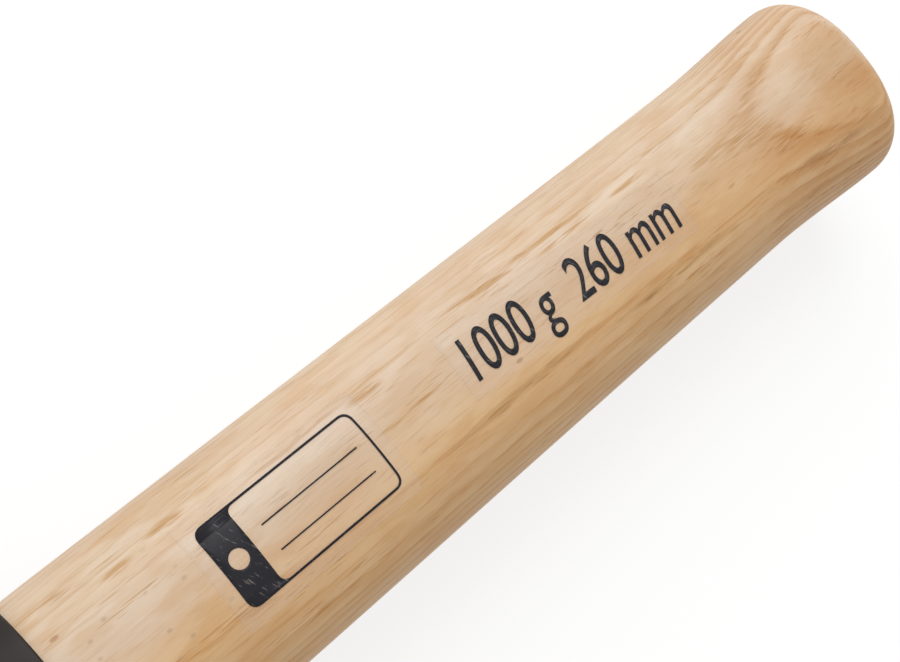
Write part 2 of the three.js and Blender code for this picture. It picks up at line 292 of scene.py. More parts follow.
class Studio(bpy.types.PropertyGroup):
    """Camera, lights and floor"""

    aim: FloatVectorProperty(
        name="Aim",
        description="Point in the middle of the picture",
        default=(144.05 * MM, 7.46 * MM, 20 * MM),
        subtype="TRANSLATION",
        unit="LENGTH",
    )
    distance: size("Distance", "From the aim to the camera", 237.73)
    tilt: angle("Tilt", "Lean of the camera towards the head, from straight above", 25.177)
    turn: angle("Turn", "Turn of the picture round the camera's line of sight", 38.719)
    lens: FloatProperty(
        name="Lens", description="Focal length on a sensor 36 mm wide", default=59.5, unit="CAMERA"
    )
    key_power: FloatProperty(
        name="Key power", description="Large soft light above the +Y side", default=3.1, unit="POWER"
    )
    key_side: size("Key size", "Width of the large soft light", 600)
    key_distance: size("Key distance", "From the aim to the large soft light", 750)
    key_towards: FloatVectorProperty(
        name="Key direction",
        description="From the aim towards the large soft light",
        default=(0.2, 0.62, 0.76),
        subtype="DIRECTION",
    )
    room_light: share("Room light", "Even white light from all round", 0.46)
    floor_white: shade("Floor white", "Floor as it lights the other things", 203, 203, 203)
    floor_grey: shade("Floor grey", "Part of the seen floor that shadow can take away", 149, 149, 149)
    floor_glow: share("Floor glow", "Glow of the seen floor that shadow leaves alone", 0.78)
    floor_side: size("Floor size", "Width of the floor", 6000)
    fade_start: size("Fade start", "Distance from the head where the floor starts to fade to white", 450)
    fade_end: size("Fade end", "Distance from the head where the floor is all white", 1200)


class HammerSettings(bpy.types.PropertyGroup):
    """Everything that a user may change"""

    head: PointerProperty(type=HeadSizes)
    handle: PointerProperty(type=HandleSizes)
    joint: PointerProperty(type=JointSizes)
    labels: PointerProperty(type=LabelSizes)
    finishes: PointerProperty(type=Finishes)
    studio: PointerProperty(type=Studio)


# Node trees
class Value:
    """Number in a node tree. Arithmetic on it adds Math nodes."""

    def __init__(self, graph, socket):
        self.graph = graph
        self.socket = socket

    def __add__(self, other):
        return self.graph.math("ADD", self, other)

    def __sub__(self, other):
        return self.graph.math("SUBTRACT", self, other)

    def __mul__(self, other):
        return self.graph.math("MULTIPLY", self, other)

    def __truediv__(self, other):
        return self.graph.math("DIVIDE", self, other)

    def __rtruediv__(self, other):
        return self.graph.math("DIVIDE", other, self)

    def __pow__(self, other):
        return self.graph.math("POWER", self, other)

    def __abs__(self):
        return self.graph.math("ABSOLUTE", self)

    __radd__ = __add__


class Graph:
    """Adds nodes to one tree. An input is a plain value or another node's output."""

    def __init__(self, tree):
        self.tree = tree

    def node(self, kind, inputs=(), **settings):
        made = self.tree.nodes.new(kind)
        for name, setting in settings.items():
            setattr(made, name, setting)
        self.fill(made, inputs)
        return made

    def output(self, kind, inputs=(), **settings):
        """First output of a new node."""
        return self.node(kind, inputs, **settings).outputs[0]

    def fill(self, node, inputs):
        """Sets or links a node's inputs, by name or by number."""
        for key, value in dict(inputs).items():
            source = value.socket if isinstance(value, Value) else value
            if isinstance(source, bpy.types.NodeSocket):
                self.tree.links.new(source, node.inputs[key])
            else:
                node.inputs[key].default_value = source

    def math(self, operation, *terms):
        return Value(self, self.output("ShaderNodeMath", enumerate(terms), operation=operation))

    def larger(self, *terms):
        return self.math("MAXIMUM", *terms)

    def length(self, across, up):
        """Length of a line that runs so far across and so far up."""
        return self.math("SQRT", across * across + up * up)

    def step(self, value, low, high, start=0.0, end=1.0, shape="SMOOTHSTEP"):
        """Value that goes from start to end while another goes from low to high."""
        inputs = {"Value": value, "From Min": low, "From Max": high, "To Min": start, "To Max": end}
        return Value(self, self.output("ShaderNodeMapRange", inputs, interpolation_type=shape))

    def vector(self, *parts):
        return self.output("ShaderNodeCombineXYZ", enumerate(parts))

    def parts(self, vector):
        return [Value(self, part) for part in self.node("ShaderNodeSeparateXYZ", {0: vector}).outputs]

    def scaled(self, vector, amount):
        return self.output("ShaderNodeVectorMath", {0: vector, "Scale": amount}, operation="SCALE")

    def noise(self, vector, detail):
        """Noise from 0 to 1, with one wave to each unit of the vector."""
        inputs = {"Vector": vector, "Scale": 1.0, "Detail": detail}
        return Value(self, self.output("ShaderNodeTexNoise", inputs))

    def cells(self, vector):
        """Distance to the nearest of scattered points."""
        return Value(self, self.output("ShaderNodeTexVoronoi", {"Vector": vector, "Scale": 1.0}))

    def blend(self, amount, first, second, mode="MIX"):
        """Colour between two others, or of one laid over the other."""
        inputs = {0: amount, 6: colour(first), 7: colour(second)}
        return self.node("ShaderNodeMix", inputs, data_type="RGBA", blend_type=mode).outputs[2]

    def layered(self, base, layers, mode="MIX"):
        """Colour with others laid over it in turn, each with its amount."""
        for amount, over in layers:
            base = self.blend(amount, base, over, mode)
        return base

    def lit(self, base, light):
        """Colour made lighter or darker by a number near 1."""
        grey = self.output("ShaderNodeCombineColor", {0: light, 1: light, 2: light})
        return self.blend(1.0, base, grey, "MULTIPLY")

    def bump(self, height, distance, strength):
        inputs = {"Height": height, "Distance": distance, "Strength": strength}
        return self.output("ShaderNodeBump", inputs)


def colour(value):
    """Colour with its alpha, or a socket as it is."""
    return value if isinstance(value, bpy.types.NodeSocket) else (*value, 1.0)


def new_tree(name, **inputs):
    """Empty Geometry Nodes tree with named inputs, its graph and its input sockets by name."""
    tree = bpy.data.node_groups.new(name, "GeometryNodeTree")
    tree.interface.new_socket("Geometry", in_out="INPUT", socket_type="NodeSocketGeometry")
    for label, kind in inputs.items():
        tree.interface.new_socket(label.replace("_", " "), in_out="INPUT", socket_type=f"NodeSocket{kind}")
    tree.interface.new_socket("Geometry", in_out="OUTPUT", socket_type="NodeSocketGeometry")
    graph = Graph(tree)
    return tree, graph, graph.node("NodeGroupInput").outputs


def close_tree(graph, geometry, material):
    """Ends a tree with smooth shading, Realize Instances and Set Material."""
    smooth = graph.output("GeometryNodeSetShadeSmooth", {"Geometry": geometry})
    real = graph.output("GeometryNodeRealizeInstances", {"Geometry": smooth})
    finished = graph.output("GeometryNodeSetMaterial", {"Geometry": real, "Material": material})
    graph.node("NodeGroupOutput", {"Geometry": finished})


def oval_loft_tree():
    """Tree that spins a profile into a closed oval skin along +X.

    The profile's points hold the place along the axis, the half width and the half thickness.
    """
    name = "Oval loft"
    if name in bpy.data.node_groups:
        return bpy.data.node_groups[name]
    tree, graph, given = new_tree(
        name, Sides="Int", Oval_Power="Float", Axis_Height="Float", Sanding="Float", Material="Material"
    )
    profile = given["Geometry"]
    place = graph.output("GeometryNodeInputPosition")
    rings = Value(graph, graph.output("GeometryNodeAttributeDomainSize", {"Geometry": profile}))
    columns = Value(graph, given["Sides"]) + 1
    net = graph.output(
        "GeometryNodeMeshGrid", {"Size X": 1.0, "Size Y": 1.0, "Vertices X": rings, "Vertices Y": columns}
    )
    down, round_axis, _ = graph.parts(place)
    ring = graph.math("ROUND", (down + 0.5) * (rings - 1))
    turn = (round_axis + 0.5) * math.tau
    sample = graph.output(
        "GeometryNodeSampleIndex",
        {"Geometry": profile, "Value": place, "Index": ring},
        data_type="FLOAT_VECTOR",
        domain="POINT",
    )
    along, half_width, half_thickness = graph.parts(sample)
    power = 2.0 / Value(graph, given["Oval Power"])

    def bulge(wave):
        return graph.math("SIGN", wave) * abs(wave) ** power

    skin = graph.vector(
        along,
        half_width * bulge(graph.math("COSINE", turn)),
        half_thickness * bulge(graph.math("SINE", turn)) + Value(graph, given["Axis Height"]),
    )
    spun = graph.output("GeometryNodeSetPosition", {"Geometry": net, "Position": skin})
    outward = graph.output("GeometryNodeFlipFaces", {"Mesh": spun})
    closed = graph.output("GeometryNodeMergeByDistance", {"Geometry": outward, "Distance": WELD})

    # Sanding only takes wood away
    x, y, z = graph.parts(place)
    spot = graph.vector(x / SANDING_LENGTH, y / SANDING_WIDTH, z / SANDING_WIDTH)
    depth = (graph.noise(spot, detail=1.0) - 1.0) * Value(graph, given["Sanding"]) * 2
    uneven = graph.scaled(graph.output("GeometryNodeInputNormal"), depth)
    sanded = graph.output("GeometryNodeSetPosition", {"Geometry": closed, "Offset": uneven})
    close_tree(graph, sanded, given["Material"])
    return tree


def lay_on_handle_tree():
    """Tree that lays a flat mesh, drawn in plan, on the upper skin of the handle."""
    name = "Lay on handle"
    if name in bpy.data.node_groups:
        return bpy.data.node_groups[name]
    tree, graph, given = new_tree(
        name, Handle="Object", Drop_Height="Float", Lift="Float", Material="Material"
    )
    x, y, _ = graph.parts(graph.output("GeometryNodeInputPosition"))
    height = given["Drop Height"]
    skin = graph.node("GeometryNodeObjectInfo", {"Object": given["Handle"]}, transform_space="RELATIVE")
    fall = graph.node(
        "GeometryNodeRaycast",
        {
            "Target Geometry": skin.outputs["Geometry"],
            "Source Position": graph.vector(x, y, height),
            "Ray Direction": (0.0, 0.0, -1.0),
            "Ray Length": height,
        },
    )
    laid = graph.output(
        "GeometryNodeSetPosition",
        {
            "Geometry": given["Geometry"],
            "Position": fall.outputs["Hit Position"],
            "Offset": graph.scaled(fall.outputs["Hit Normal"], given["Lift"]),
        },
    )
    close_tree(graph, laid, given["Material"])
    return tree


# Meshes and pieces
def applied(mesh, add_modifiers):
    """Mesh that a list of modifiers leaves of another one."""
    blank = bpy.data.objects.new("blank", mesh)
    bpy.context.collection.objects.link(blank)
    add_modifiers(blank)
    made = plain_mesh(blank)
    bpy.data.objects.remove(blank)
    return made


def plain_mesh(drawn):
    """Plain mesh of an object as it stands, with its modifiers or as a filled curve."""
    return bpy.data.meshes.new_from_object(drawn.evaluated_get(bpy.context.evaluated_depsgraph_get()))


def reworked(mesh, work):
    """Mesh after some work on its vertices, edges and faces."""
    net = bmesh.new()
    net.from_mesh(mesh)
    work(net)
    net.to_mesh(mesh)
    net.free()
    return mesh


def grown(mesh, tree, thickness=0.0, **inputs):
    """Mesh that a Geometry Nodes tree makes of a starting mesh, with a wall where one is asked for."""
    sockets = {
        item.name: item.identifier
        for item in tree.interface.items_tree
        if item.item_type == "SOCKET" and item.in_out == "INPUT"
    }

    def add_modifiers(blank):
        nodes = blank.modifiers.new(tree.name, "NODES")
        nodes.node_group = tree
        for label, value in inputs.items():
            nodes[sockets[label.replace("_", " ")]] = value
        if thickness:
            wall = blank.modifiers.new("Wall", "SOLIDIFY")
            wall.thickness = thickness
            wall.offset = 1

    made = applied(mesh, add_modifiers)
    made.materials.clear()
    if "Material" in inputs:
        made.materials.append(inputs["Material"])
    made.polygons.foreach_set("material_index", [0] * len(made.polygons))
    return made


def lofted(profile, sides, power, sanding=0.0, **finish):
    """Closed oval skin round the handle's axis."""
    sizes = {"Sides": sides, "Oval_Power": power, "Axis_Height": AXIS_HEIGHT, "Sanding": sanding}
    return grown(profile, oval_loft_tree(), **sizes, **finish)


def carved(mesh, *cutters):
    """Mesh with other closed meshes cut out of it."""
    tools = [bpy.data.objects.new("cutter", cutter) for cutter in cutters]

    def add_modifiers(blank):
        for tool in tools:
            bpy.context.collection.objects.link(tool)
            cut = blank.modifiers.new("Cut", "BOOLEAN")
            cut.object = tool
            cut.solver = "EXACT"

    made = applied(mesh, add_modifiers)
    for tool in tools:
        bpy.data.objects.remove(tool)
    return made


def crisp(mesh, sharp_edge):
    """Mesh with smooth faces, edges sharper than an angle kept sharp, and flats that stay flat."""
    mesh.shade_smooth()
    mesh.set_sharp_from_angle(angle=sharp_edge)

    def add_modifiers(blank):
        normals = blank.modifiers.new("Flats", "WEIGHTED_NORMAL")
        normals.keep_sharp = True

    return applied(mesh, add_modifiers)


def place_piece(name, mesh, slot, *nodes):
    """Finished piece on the frame's body, standing for the solids that it covers."""
    if not mesh.polygons:
        raise RuntimeError(f"{name} has no faces")
    mesh.name = name
    piece = bpy.data.objects.new(name, mesh)
    bpy.context.collection.objects.link(piece)
    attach(piece, "root")
    if nodes:
        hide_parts(*nodes)


# Shapes
def smoothstep(value, low, high):
    amount = min(max((value - low) / (high - low), 0), 1)
    return amount * amount * (3 - 2 * amount)


def spaced(start, end, count):
    """Evenly spaced values from start to end, both included."""
    return [start + (end - start) * i / (count - 1) for i in range(count)]


def rounded(before, corner, after, cut, steps):
    """Points of a round corner that starts and ends a short cut away from it."""
    start = corner + (before - corner).normalized() * cut
    end = corner + (after - corner).normalized() * cut
    return [
        start * (1 - t) ** 2 + corner * 2 * t * (1 - t) + end * t * t for t in spaced(0, 1, steps + 1)
    ]


def outline(points, cut, steps):
    """Closed outline with all its corners rounded."""
    found = []
    for i, corner in enumerate(points):
        found += rounded(points[i - 1], corner, points[(i + 1) % len(points)], cut, steps)
    return found


def chain(points, closed=False):
    """Mesh of loose points, which a loft reads as its profile."""
    mesh = bpy.data.meshes.new("profile")
    mesh.from_pydata([*points, *points[:1]] if closed else points, [], [])
    return mesh


def eye_halves(x, head):
    """Half sizes of the eye at a place along the handle."""
    waist = HEAD_HIGH.x - head.eye_waist
    if x < waist:
        flare = head.eye_top_flare * (waist - x) / (waist - HEAD_LOW.x)
    else:
        flare = head.eye_foot_flare * (x - waist) / (HEAD_HIGH.x - waist)
    return head.eye_length / 2 + flare, head.eye_width / 2 + flare


def tenon_halves(x, settings):
    """Half sizes of the tenon, which fills the eye up to the fit gap."""
    inside = min(max(x, HEAD_LOW.x), HEAD_HIGH.x)
    return [half - settings.joint.fit_gap for half in eye_halves(inside, settings.head)]


def handle_halves(x, settings):
    """Half sizes of the handle under the head: smooth steps from neck to grip, waist and butt."""
    handle = settings.handle
    neck = [half + handle.shoulder_step for half in tenon_halves(HEAD_HIGH.x, settings)]
    stations = [
        (SLEEVE_LOW.x, *neck),
        (HEAD_HIGH.x + handle.grip_at, handle.grip_width / 2, handle.grip_thickness / 2),
        (HANDLE_HIGH.x - handle.waist_at, handle.waist_width / 2, handle.waist_thickness / 2),
        (HANDLE_HIGH.x - handle.butt_at, handle.butt_width / 2, handle.butt_thickness / 2),
    ]
    width, thickness = neck
    for before, after in zip(stations, stations[1:]):
        amount = smoothstep(x, before[0], after[0])
        width += amount * (after[1] - before[1])
        thickness += amount * (after[2] - before[2])
    return width, thickness


def handle_profile(settings):
    """Profile of the handle from the middle of the tenon's end to the middle of the butt end."""
    handle = settings.handle
    end, edge = HANDLE_LOW.x, handle.tenon_edge
    points = [(end, 0, 0)]
    for turn in spaced(0, math.pi / 2, TENON_EDGE_RINGS):
        halves = [half - edge * (1 - math.sin(turn)) for half in tenon_halves(end, settings)]
        points.append((end + edge * (1 - math.cos(turn)), *halves))
    points += [(x, *tenon_halves(x, settings)) for x in spaced(HEAD_LOW.x, SLEEVE_LOW.x, TENON_RINGS)]
    butt = HANDLE_HIGH.x - handle.butt_round
    points += [(x, *handle_halves(x, settings)) for x in spaced(SLEEVE_LOW.x, butt, GRIP_RINGS)]
    for turn in spaced(0, math.pi / 2, BUTT_RINGS)[1:]:
        x = butt + handle.butt_round * math.sin(turn) ** (2 / handle.butt_power)
        across = max(math.cos(turn), 0) ** (2 / handle.butt_power)
        points.append((x, *[half * across for half in handle_halves(x, settings)]))
    return chain(points)


def sleeve_profile(settings):
    """Closed profile of the sleeve's wall, with full rounds at both rims."""
    wall, gap = settings.joint.sleeve_wall, settings.joint.fit_gap
    rim = wall / 2
    start, end = SLEEVE_LOW.x + rim, SLEEVE_HIGH.x - rim

    def point(x, offset):
        return (x, *[half + gap + offset for half in handle_halves(x, settings)])

    def turned(centre, start_turn):
        turns = spaced(start_turn, start_turn + math.pi, SLEEVE_RIM_RINGS)
        return [point(centre + rim * math.sin(t), rim + rim * math.cos(t)) for t in turns]

    inside = spaced(start, end, SLEEVE_RINGS)[1:-1]
    points = turned(start, math.pi) + [point(x, wall) for x in inside]
    points += turned(end, 0) + [point(x, 0) for x in reversed(inside)]
    return chain(points, closed=True)


def ring_outline(joint, gap=0.0, overrun=0.0):
    """Outline of the ring wedge's wall, or of the pocket that a gap and an overrun make of it."""
    radius = (RING_HIGH.y - RING_LOW.y) / 2
    top, edge = RING_LOW.x, RING_HIGH.x + gap
    edge_radius = radius - joint.ring_taper
    inner = Vector((top, radius - joint.ring_wall - gap))
    outer = Vector((top, radius + gap))
    points = [inner, outer]
    if overrun:
        run_out = Vector((overrun, 0))
        points = [inner, inner - run_out, outer - run_out, outer]
    points.append(Vector((edge, edge_radius + gap)))
    points.append(Vector((edge, edge_radius - joint.ring_edge - gap)))
    return points


def ring_loft(points, material):
    """Round ring with an outline as the section of its wall."""
    profile = chain([(along, radius, radius) for along, radius in points], closed=True)
    return lofted(profile, RING_SIDES, ROUND_POWER, Material=material)


def kerf_blade(joint):
    """Tapered blade that saws the kerf for the wooden wedge right across the tenon."""
    thick = WEDGE_HIGH.z - WEDGE_LOW.z
    slope = (thick - joint.wedge_tip) / (WEDGE_HIGH.x - WEDGE_LOW.x)
    reach = HEAD_HIGH.y
    corners = []
    for x in (HANDLE_LOW.x - KERF_OVERRUN, WEDGE_HIGH.x + joint.kerf_relief):
        half = (thick - slope * (x - WEDGE_LOW.x)) / 2 + joint.fit_gap
        corners += [(x, y, AXIS_HEIGHT + z) for y in (-reach, reach) for z in (-half, half)]
    faces = [(0, 1, 3, 2), (4, 6, 7, 5), (0, 4, 5, 1), (2, 3, 7, 6), (0, 2, 6, 4), (1, 5, 7, 3)]
    mesh = bpy.data.meshes.new("kerf")
    mesh.from_pydata(corners, [], faces)
    return mesh


def head_section(half, chamfer, edge_round):
    """Chamfered square across the head, with rounded long edges."""
    corners = []
    for quarter in range(4):
        turn = Matrix.Rotation(quarter * math.pi / 2, 2)
        corners += [turn @ Vector((half, half - chamfer)), turn @ Vector((half - chamfer, half))]
    return outline(corners, edge_round * math.tan(math.pi / 8), HEAD_EDGE_STEPS)


def head_rings(head):
    """Rings of the forged head from its middle to one striking face, round the head's own axis."""
    half = (HEAD_HIGH.z - HEAD_LOW.z) / 2
    face_edge = HEAD_HIGH.y - head.face_crown
    bevel_start = face_edge - head.bevel_run
    chamfer_loss = 2 - math.sqrt(2)

    def section(along, inset):
        grown_by = smoothstep(along, head.chamfer_start, bevel_start)
        chamfer = head.eye_chamfer + (head.poll_chamfer - head.eye_chamfer) * grown_by
        points = head_section(half - inset, chamfer - chamfer_loss * inset, head.edge_round)
        return [Vector((x, along, z)) for x, z in points]

    shoulder = Vector((bevel_start, 0))
    lip = Vector((face_edge, head.bevel_depth))
    middle = Vector((face_edge + head.face_crown, half))
    sides = spaced(head.chamfer_start, bevel_start - head.edge_round, HEAD_RINGS)
    steps = [Vector((along, 0)) for along in sides]
    steps += rounded(steps[-1], shoulder, lip, head.edge_round / 2, HEAD_EDGE_STEPS)
    steps += rounded(shoulder, lip, middle, head.edge_round / 2, HEAD_EDGE_STEPS)
    rings = [section(along, inset) for along, inset in steps]
    face = rings[-1]
    for reach in spaced(1, 0, FACE_RINGS)[1:]:
        rise = (HEAD_HIGH.y - face[0].y) * (1 - reach * reach)
        rings.append([Vector((p.x * reach, p.y + rise, p.z * reach)) for p in face])
    return rings


def head_block(head):
    """Forged block: chamfers that grow from the eye to the polls, face bevels and crowned faces."""
    rings = head_rings(head)
    rings = [[Vector((p.x, -p.y, p.z)) for p in ring] for ring in reversed(rings)] + rings
    count = len(rings[0])
    lift = Vector((0, 0, AXIS_HEIGHT))

    def skin(net):
        rows = [[net.verts.new(p + lift) for p in ring] for ring in rings]
        for row, after in zip(rows, rows[1:]):
            for i in range(count):
                j = (i + 1) % count
                net.faces.new((row[i], row[j], after[j], after[i]))
        bmesh.ops.remove_doubles(net, verts=net.verts, dist=WELD)
        bmesh.ops.recalc_face_normals(net, faces=net.faces)

    return reworked(bpy.data.meshes.new("block"), skin)


def eye_core_profile(head):
    """Profile of the solid that fills the eye and runs out of both mouths over a round."""
    lead = head.mouth_round
    ends = []
    for mouth, out in ((HEAD_LOW.x, -1), (HEAD_HIGH.x, 1)):
        start = mouth - out * lead
        halves = eye_halves(start, head)
        side = [
            (start + out * lead * math.sin(t), *[half + lead * (1 - math.cos(t)) for half in halves])
            for t in spaced(0, MOUTH_TURN, MOUTH_RINGS)
        ]
        _, *wide = side[-1]
        side.append((mouth + out * lead, *[half + 2 * lead for half in wide]))
        side.append((mouth + out * lead, 0, 0))
        ends.append(side)
    top, foot = ends
    waist = HEAD_HIGH.x - head.eye_waist
    return chain([*reversed(top), (waist, *eye_halves(waist, head)), *foot])


def flat_shape(outlines):
    """Flat mesh in plan from closed outlines, with an outline inside another one left open."""
    curve = bpy.data.curves.new("outlines", "CURVE")
    curve.dimensions = "2D"
    curve.fill_mode = "BOTH"
    for points in outlines:
        spline = curve.splines.new("POLY")
        spline.points.add(len(points) - 1)
        for slot, (x, y) in zip(spline.points, points):
            slot.co = (x, y, 0, 1)
        spline.use_cyclic_u = True
    return flat_mesh(curve)


def flat_mesh(curve):
    """One-sided mesh, facing up, of a filled curve or of text."""
    drawn = bpy.data.objects.new("drawn", curve)
    bpy.context.collection.objects.link(drawn)
    mesh = plain_mesh(drawn)
    bpy.data.objects.remove(drawn)

    def face_up(net):
        bmesh.ops.remove_doubles(net, verts=net.verts, dist=WELD)
        bmesh.ops.reverse_faces(net, faces=[face for face in net.faces if face.normal.z < 0])
        bmesh.ops.triangulate(net, faces=net.faces)

    return reworked(mesh, face_up)


def in_strips(mesh):
    """Flat mesh cut into narrow strips along X, so that it can follow the handle's curve."""
    low = min(vertex.co.y for vertex in mesh.vertices)
    high = max(vertex.co.y for vertex in mesh.vertices)
    count = math.ceil((high - low) / PRINT_STRIP)

    def cut(net):
        for y in spaced(low, high, count + 1)[1:-1]:
            everything = [*net.verts, *net.edges, *net.faces]
            plane = {"plane_co": (0, y, 0), "plane_no": (0, 1, 0)}
            bmesh.ops.bisect_plane(net, geom=everything, dist=PLANE_REACH, **plane)
        bmesh.ops.triangulate(net, faces=net.faces)

    return reworked(mesh, cut)


def sheet(name, length, height, columns=1, rows=1):
    """Flat rectangle round the origin, cut into a grid."""

    def lay_out(net):
        bmesh.ops.create_grid(net, x_segments=columns, y_segments=rows, size=0.5)

    mesh = reworked(bpy.data.meshes.new(name), lay_out)
    mesh.transform(Matrix.Diagonal((length, height, 1, 1)))
    return mesh


def rectangle(length, height, corner, at=(0, 0)):
    """Rounded rectangle round a place in plan."""
    half = Vector((length / 2, height / 2))
    signs = ((-1, -1), (1, -1), (1, 1), (-1, 1))
    points = [Vector((half.x * x + at[0], half.y * y + at[1])) for x, y in signs]
    return outline(points, corner, TAG_CORNER_STEPS)


def circle(radius, at):
    """Circle round a place in plan."""
    turns = spaced(0, math.tau, HOLE_POINTS + 1)[:-1]
    return [Vector((at[0] + radius * math.cos(t), at[1] + radius * math.sin(t))) for t in turns]


# Materials
def new_material(name):
    """New material, its graph and its Principled node."""
    material = bpy.data.materials.new(name)
    material.use_nodes = True
    return material, Graph(material.node_tree), material.node_tree.nodes["Principled BSDF"]


class Place:
    """Place on a piece, in millimetres from the handle's axis at the middle of the eye, with noise on it."""

    def __init__(self, graph):
        self.graph = graph
        x, y, z = graph.parts(graph.node("ShaderNodeTexCoord").outputs["Object"])
        self.x, self.y, self.z = x / MM, y / MM, (z - AXIS_HEIGHT) / MM

    def speckle(self, x_rate, y_rate, z_rate, detail):
        """Noise with so many waves to the millimetre each way."""
        return self.graph.noise(self.graph.vector(self.x * x_rate, self.y * y_rate, self.z * z_rate), detail)

    def along_grain(self, length, width, shift=0.0):
        """Place in units of one length along the handle and one width across it."""
        return self.graph.vector(self.x / length + shift, self.y / width, self.z / width)

    def wave(self, length, width, detail=2.0, shift=0.0):
        """Noise round zero, stretched along the grain."""
        return self.graph.noise(self.along_grain(length, width, shift), detail) - 0.5

    def band(self, length, width, low, high, detail=1.0, shift=0.0, least=0.0):
        """Patches along the grain: least where the noise is under low, and 1 where it is over high."""
        return self.graph.step(
            self.graph.noise(self.along_grain(length, width, shift), detail), low, high, least, 1.0
        )


class Hickory(Place):
    """Patterns of hickory sawn so that its yearly growth lies flat under the upper side of the handle."""

    def __init__(self, graph, finishes):
        super().__init__(graph)
        self.finishes = finishes
        self.upper_face = graph.step(self.z, *UPPER_FACE)
        self.ripple = self.wave(length=8, width=0.7, shift=7) * (finishes.grain_ripple / MM)
        self.fibre = self.wave(length=7, width=0.5, shift=5)
        self.fine = self.wave(length=2.5, width=0.25, shift=9)
        self.tone = self.wave(length=40, width=9, shift=13)
        self.dashes = self.band(length=4.5, width=0.26, low=0.59, high=0.68, shift=11)
        self.grow()

    def years(self):
        """Years of growth round the tree's middle, far below the handle, from the start of the last one."""
        graph, finishes = self.graph, self.finishes
        radius = graph.length(self.y - finishes.pith_side / MM, self.z + finishes.pith_depth / MM)
        slope = (self.x - finishes.slope_start / MM) * finishes.grain_slope
        wander = self.wave(length=70, width=14, detail=1.0) * (finishes.grain_wander / MM)
        growth = radius - (finishes.pith_depth + finishes.last_year) / MM + slope + wander + self.ripple
        older = graph.math("MINIMUM", growth, 0.0) / (finishes.ring_spacing / MM)
        newest = graph.larger(growth, 0.0) / (finishes.last_spacing / MM)
        drift = graph.noise(graph.vector(older * finishes.drift_rate, 0.0, 0.0), detail=1.0) - 0.5
        return older + drift * finishes.ring_drift * graph.step(older, -0.6, -3.0) + newest

    def grow(self):
        """Porous wood at the end of each year, a broken line where the next one starts, and open pores."""
        graph = self.graph
        years = self.years()
        year = graph.math("FLOOR", years)
        age = years - year
        chance = Value(graph, graph.output("ShaderNodeTexWhiteNoise", {"W": year}, noise_dimensions="1D"))
        vigour = graph.step(chance, 0.0, 1.0, 0.75, 1.0, "LINEAR")
        patch = self.band(length=30, width=5, low=0.34, high=0.60, shift=3, least=0.5)
        contrast = vigour * patch * graph.step(self.y, *PLAIN_EDGE, 0.35, 1.0)
        self.late = graph.larger(graph.step(age, 0.35, 0.95), graph.step(age, 0.0, 0.22, 1.0, 0.0))
        self.porous = self.late * contrast
        broken = self.band(length=7, width=0.5, low=0.36, high=0.54, shift=29)
        self.border = graph.step(age, 0.05, 0.26, 1.0, 0.0) * graph.step(age, 0.0, 0.05) * contrast * broken
        bundle = self.band(length=40, width=2.4, low=0.52, high=0.66, shift=43)
        self.pores = self.dashes * (self.porous * 0.45 + bundle * 0.45 + 0.08)
        self.lines = self.band(length=9, width=0.36, low=0.63, high=0.72, shift=37) * (0.2 + bundle * 0.5)

    def layers(self):
        """Pale wood under layers of rose, tan and gold, browner along both sides and at the butt. The brown
        on the -Y side, away from the key light, is partly painted shade.
        """
        graph, finishes = self.graph, self.finishes
        rose = self.band(length=22, width=7, low=0.40, high=0.64, shift=31)
        mottle = self.band(length=10, width=2.8, low=0.42, high=0.66, detail=2.0, shift=19)
        streaks = self.band(length=11, width=1.1, low=0.52, high=0.70, detail=2.0, shift=17)
        wood = graph.layered(
            finishes.pale_wood,
            (
                (rose * 0.5, finishes.rosy_wood),
                (self.porous * 0.55, finishes.tan_wood),
                (mottle * graph.step(self.x, *MOTTLED_NECK, 1.0, 1.4) * 0.4, finishes.tan_wood),
                (streaks * 0.17, finishes.tan_wood),
                (self.border * 0.8, finishes.golden_wood),
                (self.lines, finishes.golden_wood),
                (self.pores * 0.65, finishes.grain_line),
            ),
        )
        # Painted shade in part: the -Y side, away from the key light, is made browner, and the +Y edge a
        # little darker
        brown_and_shaded_side = graph.step(self.y + self.tone * 10, *BROWN_AND_SHADED_SIDE)
        brown_edge = graph.step(self.y, *BROWN_EDGE) * 0.25
        brown_end = graph.step(self.x + self.tone * 20, *BROWN_END) * (0.35 + self.late * 0.65)
        browner = (
            (graph.larger(brown_and_shaded_side, brown_edge), finishes.brown_and_shade_tint),
            (brown_end, finishes.butt_wood),
        )
        return graph.layered(wood, browner, "MULTIPLY")

    def mark(self, along, across, half_length, half_width, lean=0.0):
        """Slim mark along the grain of the upper face, which fades out from its middle."""
        graph = self.graph
        run = (self.x - along) / half_length
        line = (self.y - across - (self.x - along) * lean + self.ripple * 2) / half_width
        return graph.step(graph.length(run, line), 1.0, 0.35) * self.upper_face

    def marked(self, wood):
        """Wood with golden marks along its upper face, and one brown mineral streak near the butt."""
        graph, finishes = self.graph, self.finishes
        ragged = self.band(length=6, width=0.4, low=0.30, high=0.52, detail=2.0, shift=2)
        golden = self.mark(*GOLDEN_MARKS[0])
        for place_and_size in GOLDEN_MARKS[1:]:
            golden = graph.larger(golden, self.mark(*place_and_size))
        marks = (
            (golden * ragged * 0.9, finishes.golden_wood),
            (golden * self.dashes * 0.75, finishes.grain_line),
            (self.mark(*MINERAL_STREAK) * ragged * 0.6, finishes.streak_brown),
        )
        return graph.layered(wood, marks)

